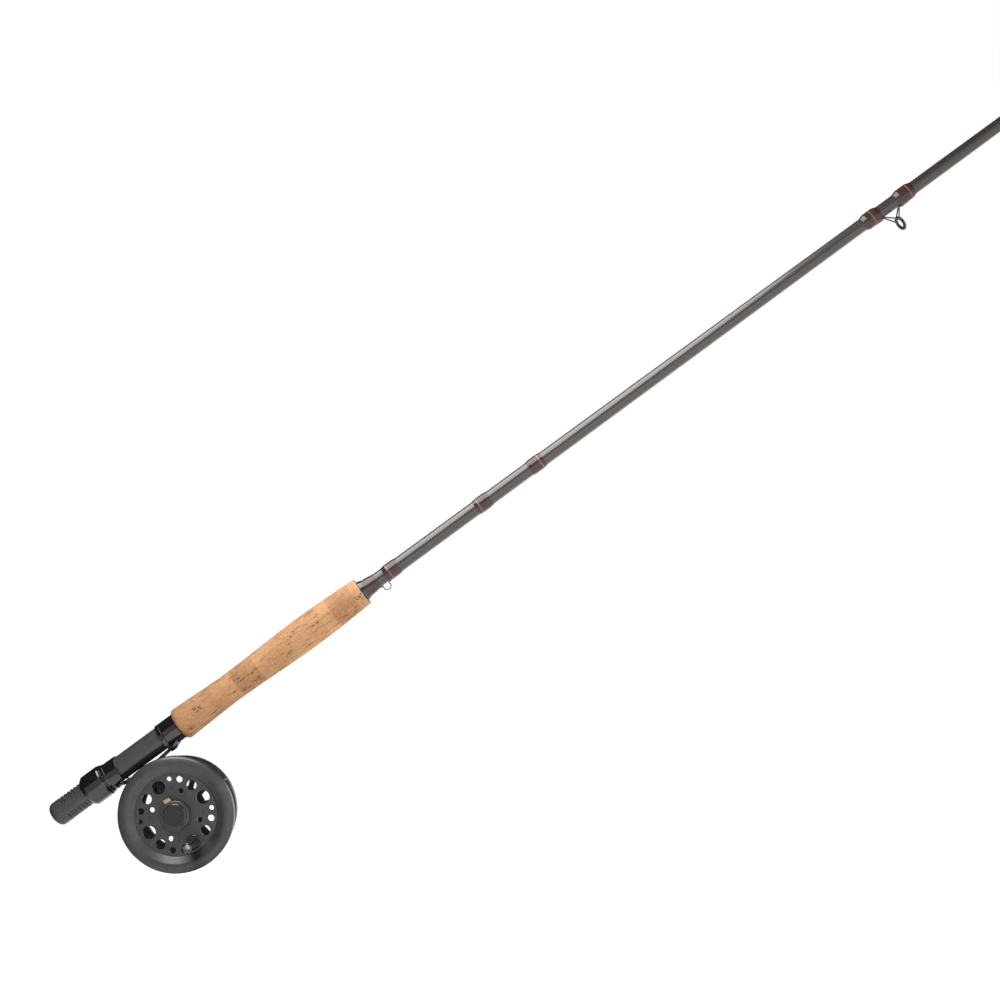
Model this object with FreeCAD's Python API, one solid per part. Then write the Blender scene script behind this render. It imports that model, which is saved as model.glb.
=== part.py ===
"""Two-piece fly rod with a single-action fly reel.

Frame, in millimetres: the rod's axis is X, from the butt (0) to the tip; Z is up and
the reel hangs below, at -Z; the reel's spindle lies along Y, with the handle at -Y.
"""
import FreeCAD, Part
import math
import os

V = FreeCAD.Vector
X_AXIS = V(1, 0, 0)
Y_AXIS = V(0, 1, 0)
Z_AXIS = V(0, 0, 1)
RUN = 0.06            # radial clearance of a running fit

# ---- rod blank -------------------------------------------------------------------------
ROD_LENGTH = 2438.0
BLANK_BUTT_X = 19.0
BLANK_BUTT_R = 6.1
BLANK_FOREGRIP_R = 5.62    # where it leaves the grip
BLANK_WALL = 1.3
FERRULE_X = 1192.0         # mouth of the tip section
FERRULE_OVERLAP = 53.0
MALE_MOUTH_R = 4.3         # butt section's radius at the ferrule mouth
MALE_END_R = 4.15
FEMALE_WALL = 0.75
TIP_MID_X = 1560.0
TIP_MID_R = 3.4
TIP_R = 0.95
TIP_WALL = 0.6

# ---- reel seat -------------------------------------------------------------------------
SEAT_R = 9.2
SEAT_BORE_R = 7.3
SEAT_END_X = 114.0
CAP_LENGTH = 8.0           # domed end of the butt cap
CAP_DOME_R = 4.5
CAP_PLUG_LENGTH = 10.0
THREAD_PITCH = 3.0
THREAD_START_X = 9.5
THREAD_END_X = 49.0
THREAD_DEPTH = 0.75
THREAD_FLAT_Z = 4.3        # half-height of the plain bands along both sides
SADDLE_STEP = 0.6          # how far the saddle lies below the barrel's surface
SADDLE_EDGE_Z = -4.9
SADDLE_START_X = 51.0
KEYWAY_HALF_DEG = 16.0
KEYWAY_START_X = 32.0
ARBOR_LENGTH = 9.0
ARBOR_XS = (24.0, 62.0, 100.0)

# ---- lock nut and sliding hood ---------------------------------------------------------
NUT_R = 12.0
NUT_START_X = 30.0
NUT_LENGTH = 17.2
NUT_CHAMFER = 2.8
WASHER_THICK = 0.9
WASHER_R = 11.5
HOOD_START_X = 48.6
HOOD_MOUTH_X = 60.4
HOOD_MOUTH_LEAN = 3.0      # the mouth's top edge stands this much further forward
HOOD_COLLAR_R = 10.9
HOOD_TOP_R = 10.2
HOOD_BULGE_Z = -12.9       # underside of the hood at its mouth
HOOD_WALL = 1.0
TOE_OUTER_R = -HOOD_BULGE_Z - HOOD_WALL     # outer curve of the foot's toes in the hoods

# ---- fixed hood ------------------------------------------------------------------------
FIXED_MOUTH_X = 99.5
FIXED_RING_LENGTH = 2.6
FIXED_SLEEVE_R = 10.2
FIXED_BULGE_Z = -12.6
STRAP_FLAT_END_X = 103.8
STRAP_END_X = 110.0
STRAP_HALF_DEG = 42.0

# ---- cork grip -------------------------------------------------------------------------
GRIP_START_X = 114.5
GRIP_END_X = 282.6
GRIP_REAR_ROUND = 3.0
CORK_FIRST_RING = 4.8      # what is left of the first ring behind the rounded end
CORK_RING_LENGTH = 9.77
# radius of the grip along its length: full rear, waist, full swell, slim front
GRIP_CURVE = ((118.0, 12.45), (139.0, 11.55), (157.0, 10.95), (176.0, 11.0),
              (200.0, 11.85), (232.0, 12.5), (258.0, 11.95), (GRIP_END_X, 10.85))
CHECK_LENGTH = 3.8
CHECK_R = 7.9

# ---- the blank's taper, as (x, radius) -------------------------------------------------
MALE_END_X = FERRULE_X + FERRULE_OVERLAP
BUTT_TAPER = ((BLANK_BUTT_X, BLANK_BUTT_R), (GRIP_END_X, BLANK_FOREGRIP_R),
              (FERRULE_X, MALE_MOUTH_R), (MALE_END_X, MALE_END_R))
FEMALE_MOUTH_R = MALE_MOUTH_R + RUN + FEMALE_WALL
TIP_TAPER = ((FERRULE_X, FEMALE_MOUTH_R), (TIP_MID_X, TIP_MID_R), (ROD_LENGTH, TIP_R))

# ---- thread wraps ----------------------------------------------------------------------
WRAP_RISE = 0.62           # thread and epoxy above the blank at the middle of a wrap
BAND_WIDTH = 0.7
# start, end and centre of the trim band (None: no band), all along X
HOSEL_WRAP = (GRIP_END_X + CHECK_LENGTH, 296.6, None)
KEEPER_WRAP = (303.4, 316.0, 307.6)
LOWER_WRAP = (387.0, 400.0, 390.2)
UPPER_WRAP = (436.0, 449.0, 445.8)
GUIDE_LOWER_WRAP = (742.6, 757.4, 750.6)
GUIDE_UPPER_WRAP = (772.6, 788.0, 783.6)
HOSEL_RISE = 1.2
GUIDE_WRAP_RISE = 1.25
FERRULE_WRAP_LENGTH = 22.0
TIP_END_WRAP_LENGTH = 6.0

# ---- hook keeper and stripping guide ---------------------------------------------------
KEEPER_WIRE_R = 0.4
KEEPER_DROP = 3.9
GUIDE_X = 765.7
GUIDE_DROP = 15.6          # ring centre below the rod's axis
GUIDE_RING_R = 5.7
GUIDE_RING_SECTION = 1.4
GUIDE_TURN_DEG = 14.0      # how far the ring has twisted about its legs
GUIDE_HIP_Y = 1.8          # where each leg leaves the blank, off its centre line
GUIDE_BORE_R = 3.3
LINER_WALL = 0.8
GUIDE_WIRE_R = 0.5
FOOT_WIRE_R = 0.75

# ---- snake guides and tip top ----------------------------------------------------------
SNAKE_XS = (1034.0, 1300.0, 1492.0, 1680.0, 1858.0, 2030.0, 2186.0, 2318.0)
SNAKE_RISE = (6.2, 5.6, 5.0, 4.6, 4.2, 3.9, 3.7, 3.5)
SNAKE_LENGTH = 26.0
SNAKE_WIRE_R = 0.5
SNAKE_FOOT_LENGTH = 8.0
TIPTOP_TUBE_LENGTH = 11.0
TIPTOP_TUBE_WALL = 0.35
TIPTOP_RING_R = 3.0
TIPTOP_WIRE_R = 0.55

# ---- reel ------------------------------------------------------------------------------
REEL_X = 77.2
REEL_Z = -52.0
RIM_R = 42.9               # palming rim
RIM_CREST_Y = -17.0
RIM_SKIRT_Y = -9.3
RIM_SKIRT_WALL = 1.5
RIM_CORNER_R = 2.4
DISC_R = 30.2
DISC_Y = -13.3             # front face of the perforated disc
DISC_THICK = 2.0
DISH_Y = -14.3             # the dish inside the rim, at the disc's edge
DISH_SLOPE = 4.2           # how far its slope reaches out from the disc
RIM_BROW = 4.6             # how far the rim's crest lies in from its edge
FRAME_R = 39.9
FRAME_RING_INNER_R = 37.5
FRAME_RING_OUTER_R = 40.9
FRAME_RING_Y = -10.7
FRAME_RING_WIDTH = 3.0
PLATE_Y = 16.6             # inner face of the back plate
PLATE_THICK = 2.6
PLATE_LIP = 4.6
PLATE_LIP_WALL = 1.6
PLATE_BOSS = 2.4           # height of the boss behind the plate
PILLAR_R = 1.5
PILLAR_CIRCLE_R = 39.2
PILLAR_DEGREES = (0.0, -60.0, -120.0, 180.0)
PILLAR_WAIST = 0.8         # of the pillar's radius
BRIDGE_HALF_WIDTH = 15.0
BRIDGE_TOP_Z = -12.8
BRIDGE_PAD_HALF_Y = 5.5
SPINDLE_R = 3.0
SPINDLE_FRONT_Y = -17.7
SPINDLE_GROOVE_R = 1.9
SPINDLE_GROOVE_Y = -17.1
SPINDLE_GROOVE_WIDTH = 1.4
SPINDLE_COLLAR_R = 5.0
SPINDLE_SEAT_R = 4.0       # where it is pressed into the plate
SPINDLE_TAIL_R = 2.6
SPINDLE_NUT_R = 5.0
SPINDLE_NUT_THICK = 2.2
ARBOR_R = 12.5
ARBOR_WALL = 1.6
FLANGE_Y = 11.2            # rear flange
FLANGE_THICK = 1.4
FLANGE_R = 37.0
BOSS_R = 10.9
BOSS_HEIGHT = 5.0
CAP_R = 8.9
CAP_HEIGHT = 2.6
CAP_SEAT_DEPTH = 1.2
HUB_CAVITY_R = CAP_R - 0.9
BUSH_R = 4.6
NOSE_R = BUSH_R + 1.6      # of the arbor, through the rear flange
GEAR_TEETH = 24
GEAR_R = 8.4
GEAR_TOOTH = 1.3
GEAR_THICK = 2.0
GEAR_GAP = 0.2             # behind the flange
GEAR_Y = FLANGE_Y + FLANGE_THICK + GEAR_GAP
GEAR_END_Y = GEAR_Y + GEAR_THICK
LATCH_DEG = 82.0
LATCH_TRAVEL = 1.3
LATCH_WIDTH = 5.0
LATCH_THICK = 0.8
LATCH_Y = SPINDLE_GROOVE_Y + (SPINDLE_GROOVE_WIDTH - LATCH_THICK) / 2
LATCH_HOLE_R = 3.25
LATCH_TIP_R = 13.6
LATCH_RIB = 0.45
HANDLE_DEG = -92.7
HANDLE_CIRCLE_R = 24.0
HANDLE_LENGTH = 24.0
HANDLE_BASE_R = 5.2
HANDLE_TIP_R = 3.5
HANDLE_POST_R = 1.8
HANDLE_COLLAR = 1.2
HANDLE_COLLAR_R = 5.7
HANDLE_HEAD_R = 2.1
HANDLE_HEAD_DEPTH = 4.4     # of the screw's seat, below the knob's end
KNOB_DEG = 105.0           # click adjuster, off the spindle
KNOB_CIRCLE_R = 24.0
KNOB_R = 7.0
KNOB_HEIGHT = 6.5
KNOB_FLUTES = 16
KNOB_SHAFT_R = 2.0
CAM_R = 3.2
CAM_OFFSET = 0.9
PAWL_DEG = 90.0
PAWL_ARM_DEG = 48.0
PAWL_THICK = 1.6
PAWL_Y = GEAR_Y + 0.2
PAWL_POST_R = 1.0
PAWL_PIVOT_R = GEAR_R + 3.8
SPRING_ANCHOR = (GEAR_R + 4.6, PAWL_DEG - 22)      # circle radius and degrees about the spindle
SPRING_END = (GEAR_R + 5.4, PAWL_DEG + 32)
SPRING_Y = GEAR_Y + 0.5
SPRING_THICK = 0.3
SPRING_WIDTH = 1.2
SPRING_BLOCK_R = 1.3
FOOT_THICK = 1.2
FOOT_HALF_DEG = 27.0
FOOT_SADDLE_HALF = 12.0
TOE_CORNER_R = 4.5
FOOT_SCREW_XS = (REEL_X - 6.0, REEL_X + 6.0)
RIVET_R = 1.2
RIVET_HEAD_R = 2.3
KNOB_LAND = 1.0            # plate left round the adjuster
# windows: inner and outer radius, how many, direction of the first spoke, spoke width
FLANGE_WINDOWS = (17.9, 28.6, 4, 9.0, 4.0)
PLATE_WINDOWS = (16.2, 29.6, 6, -22.0, 4.0)
WINDOW_CORNER_R = 1.2

# hole pattern, repeated four times round the disc: degrees from each large hole,
# circle radius and hole radius
LARGE_HOLE = (0.0, 23.6, 4.95)
PATTERN = ((-22.0, 26.6, 1.8), (-38.5, 25.9, 2.4), (-61.0, 24.4, 3.75), (-44.7, 17.9, 1.95))
DIMPLE = (-27.0, 20.0, 0.55)
PATTERN_START_DEG = 87.3
HANDLE_QUARTER = 2


# ======================================================================== small helpers
def cylinder_x(radius, x0, x1, y=0.0, z=0.0):
    return Part.makeCylinder(radius, x1 - x0, V(x0, y, z), X_AXIS)


def cylinder_y(radius, y0, y1, x=REEL_X, z=REEL_Z):
    return Part.makeCylinder(radius, y1 - y0, V(x, y0, z), Y_AXIS)


def box(x0, x1, y0, y1, z0, z1):
    return Part.makeBox(x1 - x0, y1 - y0, z1 - z0, V(x0, y0, z0))


def rounded_wire(points, closed=True):
    """Wire through points, each (vector, corner radius), with tangent arcs at corners."""
    count = len(points)
    starts, ends, arcs = [], [], []
    for i, (corner, radius) in enumerate(points):
        if radius == 0 or (not closed and i in (0, count - 1)):
            starts.append(corner)
            ends.append(corner)
            arcs.append(None)
            continue
        back = (points[i - 1][0] - corner).normalize()
        ahead = (points[(i + 1) % count][0] - corner).normalize()
        half = back.getAngle(ahead) / 2
        reach = radius / math.tan(half)
        middle = (back + ahead).normalize() * (radius / math.sin(half) - radius)
        starts.append(corner + back * reach)
        ends.append(corner + ahead * reach)
        arcs.append(corner + middle)
    edges = []
    for i in range(count):
        if arcs[i] is not None:
            edges.append(Part.Arc(starts[i], arcs[i], ends[i]).toShape())
        if i < count - 1 or closed:
            following = starts[(i + 1) % count]
            if ends[i].distanceToPoint(following) > 1e-6:
                edges.append(Part.LineSegment(ends[i], following).toShape())
    return Part.Wire(edges)


def turned_x(profile):
    """Solid of revolution about the rod's axis; profile holds (x, radius[, corner])."""
    points = [(V(p[0], 0, p[1]), p[2] if len(p) > 2 else 0) for p in profile]
    return Part.Face(rounded_wire(points)).revolve(V(0, 0, 0), X_AXIS, 360)


def turned_y(profile, x=REEL_X, z=REEL_Z):
    """Solid of revolution about a line along Y; profile holds (y, radius[, corner])."""
    points = [(V(x + p[1], p[0], z), p[2] if len(p) > 2 else 0) for p in profile]
    return Part.Face(rounded_wire(points)).revolve(V(x, 0, z), Y_AXIS, 360)


def wire_rod(points, radius):
    """Round wire along straight runs and tangent arcs."""
    path = rounded_wire(points, closed=False)
    start = path.Edges[0]
    tangent = start.tangentAt(start.FirstParameter)
    ring = Part.Wire(Part.makeCircle(radius, points[0][0], tangent))
    return path.makePipeShell([ring], True, False)


def sector_x(r0, r1, half_deg, x0, x1):
    """Piece of tube about the rod's axis, centred on the reel side."""
    ring = cylinder_x(r1, x0, x1).cut(cylinder_x(r0, x0 - 1, x1 + 1))
    far_y = 3 * r1 * math.sin(math.radians(half_deg))
    far_z = -3 * r1 * math.cos(math.radians(half_deg))
    fan = [V(x0, 0, 0), V(x0, far_y, far_z), V(x0, -far_y, far_z), V(x0, 0, 0)]
    return ring.common(Part.Face(Part.makePolygon(fan)).extrude(V(x1 - x0, 0, 0)))


def slab(outline, y0, thick):
    """Flat plate square to Y, from its (x, z) corners."""
    corners = [V(x, y0, z) for x, z in outline]
    return Part.Face(Part.makePolygon(corners + corners[:1])).extrude(V(0, thick, 0))


def polar(radius, degrees):
    """Point on a circle about the spindle, as (x, z)."""
    turn = math.radians(degrees)
    return REEL_X + radius * math.cos(turn), REEL_Z + radius * math.sin(turn)


def clean(shape):
    return shape.removeSplitter()


def joined(shapes):
    result = shapes[0]
    for other in shapes[1:]:
        result = result.fuse(other)
    return clean(result)


def export(name, shapes):
    """Write one node: a solid, or a group of separate solids."""
    solids = []
    for shape in shapes if isinstance(shapes, list) else [shapes]:
        solids.extend(shape.Solids)
    node = solids[0] if len(solids) == 1 else Part.makeCompound(solids)
    if not node.isValid():
        raise ValueError(name + " is not a valid shape")
    node.exportStep("parts/" + name + ".step")


# ============================================================================== the rod
def line_radius(x, stations):
    """Radius on a taper given as (x, radius) stations."""
    for (x0, r0), (x1, r1) in zip(stations, stations[1:]):
        if x <= x1 or (x1, r1) == stations[-1]:
            return r0 + (r1 - r0) * (x - x0) / (x1 - x0)
    return stations[-1][1]


def blank_radius(x):
    return line_radius(x, TIP_TAPER if x >= FERRULE_X else BUTT_TAPER)


def butt_blank():
    outside = list(BUTT_TAPER)
    inside = [(x, r - BLANK_WALL) for x, r in reversed(BUTT_TAPER)]
    return turned_x(outside + inside)


def tip_blank():
    solid = turned_x(list(TIP_TAPER) + [(ROD_LENGTH, 0), (FERRULE_X, 0)])
    socket = turned_x([(FERRULE_X - 1, 0), (FERRULE_X - 1, MALE_MOUTH_R + RUN),
                       (FERRULE_X, MALE_MOUTH_R + RUN), (MALE_END_X, MALE_END_R + RUN),
                       (MALE_END_X + 8, MALE_END_R + RUN), (MALE_END_X + 12, TIP_MID_R - TIP_WALL),
                       (TIP_MID_X, TIP_MID_R - TIP_WALL), (ROD_LENGTH - 300, TIP_R),
                       (ROD_LENGTH - 300, 0)])
    return solid.cut(socket)


def wrap(x0, x1, rise=WRAP_RISE):
    """Thread wrap under a long low dome of epoxy."""
    taper = min(3.0, (x1 - x0) / 4)
    profile = [(x0, blank_radius(x0)), (x0 + 0.05, blank_radius(x0) + 0.12),
               (x0 + taper, blank_radius(x0) + rise, 6.0),
               (x1 - taper, blank_radius(x1) + rise, 6.0),
               (x1 - 0.05, blank_radius(x1) + 0.12), (x1, blank_radius(x1))]
    return turned_x(profile)


def banded_wrap(spec, rise=WRAP_RISE):
    """A wrap and its trim band as two solids; the band stands a hair proud."""
    start, end, band_x = spec
    body = wrap(start, end, rise)
    if band_x is None:
        return body, None
    slot = cylinder_x(3 * SEAT_R, band_x - BAND_WIDTH / 2, band_x + BAND_WIDTH / 2)
    band = wrap(start, end, rise + 0.05).common(slot)
    return clean(body.cut(slot)), band


def hosel_wrap():
    start, end, _ = HOSEL_WRAP
    r0, r1 = blank_radius(start), blank_radius(end)
    return turned_x([(start, r0), (start, r0 + HOSEL_RISE), (start + 4, r0 + HOSEL_RISE * 0.85, 20.0),
                     (end - 3, r1 + WRAP_RISE * 0.8, 12.0), (end - 0.05, r1 + 0.12), (end, r1)])


def winding_check():
    end = GRIP_END_X + CHECK_LENGTH
    return turned_x([(GRIP_END_X, blank_radius(GRIP_END_X)), (GRIP_END_X, CHECK_R),
                     (GRIP_END_X + 1.2, CHECK_R, 0.4), (end, blank_radius(end) + HOSEL_RISE + 0.2, 0.2),
                     (end, blank_radius(end))])


def cork_rings():
    """Cork rings glued end to end, turned as one grip."""
    rear_r = GRIP_CURVE[0][1]
    curve = Part.BSplineCurve()
    curve.interpolate([V(x, 0, r) for x, r in GRIP_CURVE])
    first = V(GRIP_CURVE[0][0], 0, rear_r)
    last = V(GRIP_CURVE[-1][0], 0, GRIP_CURVE[-1][1])
    rear_z = rear_r - GRIP_REAR_ROUND
    shoulder = V(GRIP_START_X + 0.29 * GRIP_REAR_ROUND, 0, rear_z + 0.71 * GRIP_REAR_ROUND)
    rear = Part.Arc(V(GRIP_START_X, 0, rear_z), shoulder, first).toShape()
    inner = [V(GRIP_END_X, 0, blank_radius(GRIP_END_X)), V(GRIP_START_X, 0, blank_radius(GRIP_START_X))]
    edges = [rear, curve.toShape(), Part.LineSegment(last, inner[0]).toShape(),
             Part.LineSegment(inner[0], inner[1]).toShape(),
             Part.LineSegment(inner[1], V(GRIP_START_X, 0, rear_z)).toShape()]
    grip = Part.Face(Part.Wire(edges)).revolve(V(0, 0, 0), X_AXIS, 360)
    rings = []
    x0, x1 = GRIP_START_X, GRIP_START_X + CORK_FIRST_RING
    while x0 < GRIP_END_X:
        rings.append(grip.common(cylinder_x(3 * SEAT_R, x0, min(x1, GRIP_END_X))))
        x0, x1 = x1, x1 + CORK_RING_LENGTH
    return rings


# ======================================================================== the reel seat
def butt_cap():
    plug_end = CAP_LENGTH + CAP_PLUG_LENGTH
    return turned_x([(0, 0), (0, SEAT_R, CAP_DOME_R), (CAP_LENGTH, SEAT_R), (CAP_LENGTH, SEAT_BORE_R),
                     (plug_end, SEAT_BORE_R, 1.0), (plug_end, SEAT_BORE_R - 1.5),
                     (CAP_LENGTH + 1, SEAT_BORE_R - 1.5), (CAP_LENGTH + 1, 0)])


def thread_cutter():
    """Helical V groove, from before the first crest to under the hood."""
    turns_length = THREAD_END_X - THREAD_START_X
    outer = SEAT_R + 0.4
    root = SEAT_R - THREAD_DEPTH
    helix = Part.makeHelix(THREAD_PITCH, turns_length, SEAT_R)
    profile = Part.makePolygon([V(root, 0, -0.45), V(outer, 0, -1.15), V(outer, 0, 1.15),
                                V(root, 0, 0.45), V(root, 0, -0.45)])
    groove = Part.Wire(helix.Edges).makePipeShell([profile], True, True)
    groove.rotate(V(0, 0, 0), Y_AXIS, 90)
    groove.translate(V(THREAD_START_X, 0, 0))
    return groove


def seat_barrel():
    """Tube with the saddle for the foot, the hood's keyway and the interrupted thread."""
    barrel = cylinder_x(SEAT_R, CAP_LENGTH, SEAT_END_X).cut(
        cylinder_x(SEAT_BORE_R, CAP_LENGTH - 1, SEAT_END_X + 1))
    saddle_r = SEAT_R - SADDLE_STEP
    half_deg = math.degrees(math.acos(-SADDLE_EDGE_Z / SEAT_R))
    saddle = sector_x(saddle_r, SEAT_R + 1, half_deg, SADDLE_START_X, STRAP_END_X - 1)
    keyway = sector_x(saddle_r, SEAT_R + 1, KEYWAY_HALF_DEG, KEYWAY_START_X, SADDLE_START_X + 1)
    plain_bands = box(0, SEAT_END_X, -2 * SEAT_R, 2 * SEAT_R, -THREAD_FLAT_Z, THREAD_FLAT_Z)
    grooves = thread_cutter().cut(plain_bands)
    return barrel.cut(saddle).cut(keyway).cut(grooves)


def seat_arbors():
    rings = []
    for x in ARBOR_XS:
        ring = cylinder_x(SEAT_BORE_R, x, x + ARBOR_LENGTH)
        core = turned_x(list(BUTT_TAPER) + [(MALE_END_X, 0), (BLANK_BUTT_X, 0)])
        rings.append(ring.cut(core))
    return rings


def circle_wire(x, top_z, bottom_z):
    centre = (top_z + bottom_z) / 2
    return Part.Wire(Part.makeCircle((top_z - bottom_z) / 2, V(x, 0, centre), X_AXIS))


def sliding_hood():
    """Hood that draws back along the barrel; its pocket holds the foot's rear toe."""
    top_mouth = HOOD_MOUTH_X + HOOD_MOUTH_LEAN / 2
    shell = Part.makeLoft([circle_wire(HOOD_START_X + 1.8, HOOD_TOP_R, -HOOD_COLLAR_R),
                           circle_wire(top_mouth, HOOD_TOP_R, HOOD_BULGE_Z)], True, True)
    collar = turned_x([(HOOD_START_X, 0), (HOOD_START_X, HOOD_COLLAR_R, 0.3),
                       (HOOD_START_X + 2.4, HOOD_COLLAR_R - 0.4, 0.3), (HOOD_START_X + 2.4, 0)])
    hood = shell.fuse(collar).cut(cylinder_x(SEAT_R + RUN, HOOD_START_X - 1, top_mouth + 5))
    lean = math.degrees(math.atan(HOOD_MOUTH_LEAN / (HOOD_TOP_R - HOOD_BULGE_Z)))
    trim = box(0, 30, -30, 30, -40, 40)
    trim.rotate(V(0, 0, 0), Y_AXIS, lean)
    trim.translate(V(HOOD_MOUTH_X, 0, 0))
    hood = hood.cut(trim)
    pocket = sector_x(SEAT_R - SADDLE_STEP, TOE_OUTER_R, 46, HOOD_START_X + 3.2, top_mouth + 5)
    rib = sector_x(SEAT_R - SADDLE_STEP + RUN, SEAT_R + 0.5, KEYWAY_HALF_DEG - 2,
                   HOOD_START_X, HOOD_START_X + 3.0)
    return clean(hood.cut(pocket).fuse(rib))


def hood_washer():
    start = HOOD_START_X - 0.1 - WASHER_THICK
    return turned_x([(start, SEAT_R + RUN), (start, WASHER_R, 0.3), (start + WASHER_THICK, WASHER_R, 0.3),
                     (start + WASHER_THICK, SEAT_R + RUN)])


def lock_nut():
    end = NUT_START_X + NUT_LENGTH
    return turned_x([(NUT_START_X, SEAT_R + RUN), (NUT_START_X, SEAT_R + 0.6),
                     (NUT_START_X + NUT_CHAMFER, NUT_R, 1.6), (end - 1.0, NUT_R, 0.5),
                     (end, NUT_R - 0.7, 0.3), (end, SEAT_R + RUN)])


def fixed_hood():
    """Glued hood with a strap that passes under the foot's front toe."""
    ring_end = FIXED_MOUTH_X + FIXED_RING_LENGTH
    ring = Part.makeLoft([circle_wire(FIXED_MOUTH_X, FIXED_SLEEVE_R, FIXED_BULGE_Z),
                          circle_wire(ring_end, FIXED_SLEEVE_R, FIXED_BULGE_Z)], True, True)
    sleeve = cylinder_x(FIXED_SLEEVE_R, FIXED_MOUTH_X, SEAT_END_X)
    outside = rounded_wire([(V(ring_end - 1, 0, FIXED_BULGE_Z), 0),
                            (V(STRAP_FLAT_END_X, 0, FIXED_BULGE_Z), 2.5),
                            (V(STRAP_END_X - 1.6, 0, -FIXED_SLEEVE_R - 0.1), 2.5),
                            (V(SEAT_END_X - 1, 0, -FIXED_SLEEVE_R + 0.1), 0),
                            (V(SEAT_END_X - 1, 0, 0), 0), (V(ring_end - 1, 0, 0), 0)])
    strap = Part.Face(outside).revolve(V(0, 0, 0), X_AXIS, 360)
    strap = strap.common(sector_x(SEAT_R - 2, 20, STRAP_HALF_DEG, FIXED_MOUTH_X, SEAT_END_X))
    hood = ring.fuse(sleeve).fuse(strap).cut(cylinder_x(SEAT_R, FIXED_MOUTH_X - 1, SEAT_END_X + 1))
    pocket = sector_x(SEAT_R - SADDLE_STEP, -FIXED_BULGE_Z - HOOD_WALL, STRAP_HALF_DEG - 3,
                      FIXED_MOUTH_X - 1, STRAP_FLAT_END_X + 0.4)
    window = sector_x(SEAT_R - SADDLE_STEP, 10.6, STRAP_HALF_DEG + 15, ring_end, STRAP_END_X - 1.5)
    return clean(hood.cut(pocket).cut(window))


# ============================================================== keeper, guides, tip top
def hook_keeper():
    """Wire loop for the fly's hook; both ends lie under the wraps beside it."""
    x0, x1 = HOSEL_WRAP[1], KEEPER_WRAP[0]
    seat_z = -blank_radius(x0) - KEEPER_WIRE_R - 0.02
    low = seat_z - KEEPER_DROP
    return wire_rod([(V(x0 - 1.5, 0, seat_z), 0), (V(x0 + 0.9, 0, seat_z), 0.6), (V(x0 + 0.3, 0, low + 1.0), 1.6),
                     (V((x0 + x1) / 2, 0, low - 0.8), 1.6), (V(x1 - 0.3, 0, low + 1.0), 1.6),
                     (V(x1 - 0.9, 0, seat_z), 0.6), (V(x1 + 1.5, 0, seat_z), 0)], KEEPER_WIRE_R)


def guide_liner():
    return twisted(turned_ring(GUIDE_X, GUIDE_DROP, GUIDE_BORE_R, LINER_WALL, GUIDE_RING_SECTION + 0.2))


def twisted(shape):
    """The stripping guide's ring as it stands: turned a little about an upright line."""
    shape.rotate(V(GUIDE_X, 0, 0), Z_AXIS, GUIDE_TURN_DEG)
    return shape


def turned_ring(x, drop, bore_r, wall, width):
    """Ring about a line along X below the rod, with rounded edges."""
    rear, front = x - width / 2, x + width / 2
    low, high = -drop + bore_r, -drop + bore_r + wall
    corners = [(V(px, 0, pz), wall * 0.3) for px, pz in ((rear, low), (rear, high), (front, high), (front, low))]
    return Part.Face(rounded_wire(corners)).revolve(V(x, 0, -drop), X_AXIS, 360)


def guide_frame():
    """Wire frame: an outer ring on four legs that meet in two feet."""
    ring_wall = GUIDE_RING_R - GUIDE_BORE_R - LINER_WALL
    pieces = [twisted(turned_ring(GUIDE_X, GUIDE_DROP, GUIDE_BORE_R + LINER_WALL, ring_wall, GUIDE_RING_SECTION))]
    twist = math.radians(GUIDE_TURN_DEG)
    reach = GUIDE_RING_R - ring_wall / 2
    for side, inner_x, spread_deg in ((-1, GUIDE_LOWER_WRAP[1], 62.0), (1, GUIDE_UPPER_WRAP[0], 38.0)):
        foot_far = inner_x + side * 7.0
        under_r = blank_radius(min(inner_x, foot_far))
        seat_z = -under_r - FOOT_WIRE_R
        toe = V(inner_x + side * 1.2, 0, seat_z)
        pieces.append(wire_rod([(V(foot_far, 0, seat_z), 0), (toe, 0)], FOOT_WIRE_R))
        pieces.append(Part.makeSphere(FOOT_WIRE_R, toe))
        hip_z = -math.sqrt((under_r + GUIDE_WIRE_R) ** 2 - GUIDE_HIP_Y ** 2)
        spread = math.radians(spread_deg)
        for hand in (-1, 1):
            across = hand * reach * math.sin(spread)
            grip = V(GUIDE_X - across * math.sin(twist), across * math.cos(twist),
                     -GUIDE_DROP + reach * math.cos(spread))
            foot = V(inner_x + side * 2.2, 0, seat_z)
            knee = V(inner_x - side * 0.8, hand * GUIDE_HIP_Y, hip_z)
            pieces.append(wire_rod([(foot, 0), (knee, 0.8), (grip, 0)], GUIDE_WIRE_R))
    return joined(pieces)


def snake_guide(x, rise):
    """Snake guide: one open twist of wire between two feet on the blank."""
    half = SNAKE_LENGTH / 2
    foot = SNAKE_FOOT_LENGTH
    z0 = -blank_radius(x) - SNAKE_WIRE_R - 0.25
    low = z0 - rise
    side = rise * 0.52
    points = [(V(x - half, 0, z0), 0), (V(x - half + foot, 0, z0), 1.5),
              (V(x - 2.6, -side, (z0 + low) / 2), 1.8), (V(x, 0, low - 0.6), 1.8),
              (V(x + 2.6, side, (z0 + low) / 2), 1.8), (V(x + half - foot, 0, z0), 1.5), (V(x + half, 0, z0), 0)]
    return wire_rod(points, SNAKE_WIRE_R)


def snake_wraps(x):
    half = SNAKE_LENGTH / 2
    rise = 2 * SNAKE_WIRE_R + 0.55
    return [wrap(x - half - 2.5, x - half + SNAKE_FOOT_LENGTH - 0.8, rise),
            wrap(x + half - SNAKE_FOOT_LENGTH + 0.8, x + half + 2.5, rise)]


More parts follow.
